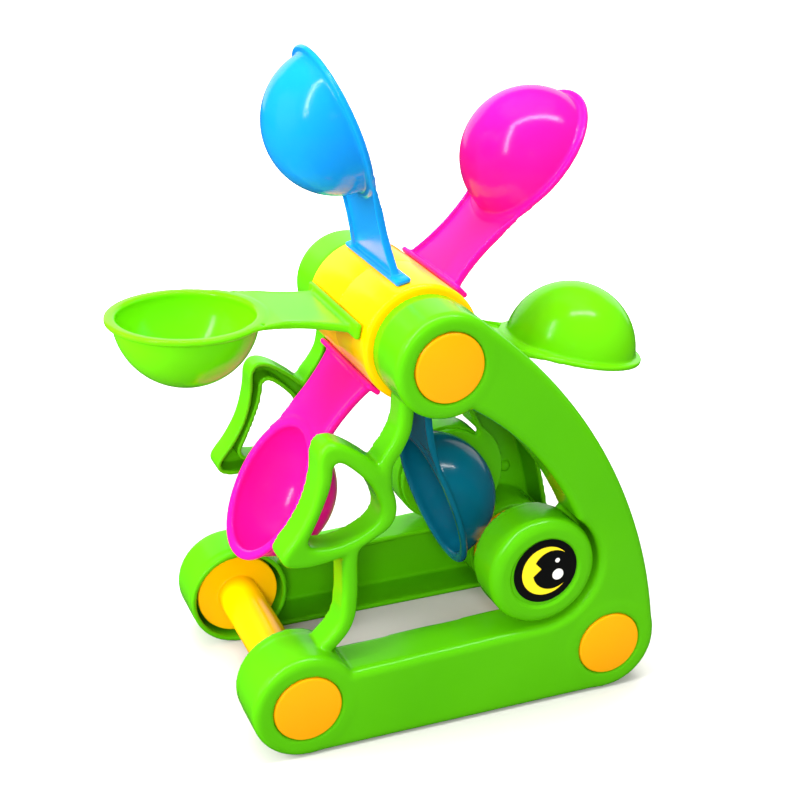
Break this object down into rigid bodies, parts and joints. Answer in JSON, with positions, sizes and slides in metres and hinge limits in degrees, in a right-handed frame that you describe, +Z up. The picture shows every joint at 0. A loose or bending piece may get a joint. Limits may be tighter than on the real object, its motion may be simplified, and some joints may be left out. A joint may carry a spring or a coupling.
{
  "type": "sand wheel toy",
  "caption": "Beach toy for sand or water: two hollow side frames on round feet carry a drum with clipped-in scoops that turns on a fixed axle.",
  "frame": {"origin": "on the floor, midway between the two crossbars and midway between the two side frames", "axes": "+Z up, +X from the front feet to the rear feet, +Y to the right along the wheel's axle"},
  "size_m": [0.2385, 0.1268, 0.2802],
  "materials": {
    "frame_green": "glossy moulded",
    "bar_yellow": "glossy moulded",
    "cap_amber": "glossy moulded",
    "scoop_blue": "glossy, slightly translucent",
    "scoop_pink": "glossy, slightly translucent",
    "scoop_green": "glossy, slightly translucent",
    "eye_print": "printed plastic film"
  },
  "bodies": {
    "frame": {"side_frame_left": "frame_green", "side_frame_right": "frame_green", "front_crossbar": "bar_yellow", "rear_crossbar": "bar_yellow", "wheel_axle": "bar_yellow", "front_cap_left": "cap_amber", "front_cap_right": "cap_amber", "rear_cap_left": "cap_amber", "rear_cap_right": "cap_amber", "axle_cap_left": "cap_amber", "axle_cap_right": "cap_amber", "eye_button_left": "frame_green", "eye_button_right": "frame_green", "eye_sticker_left": "eye_print", "eye_sticker_right": "eye_print"},
    "wheel": {"drum_half_left": "bar_yellow", "drum_half_right": "bar_yellow", "scoop_blue_upper": "scoop_blue", "scoop_pink_upper": "scoop_pink", "scoop_green_rear": "scoop_green", "scoop_blue_lower": "scoop_blue", "scoop_pink_lower": "scoop_pink", "scoop_green_front": "scoop_green"}
  },
  "joints": [
    {"name": "wheel_spin", "type": "hinge", "parent": "frame", "child": "wheel", "pos_m": [-0.01, 0, 0.1645], "axis": [0, 1, 0], "continuous": true}
  ]
}
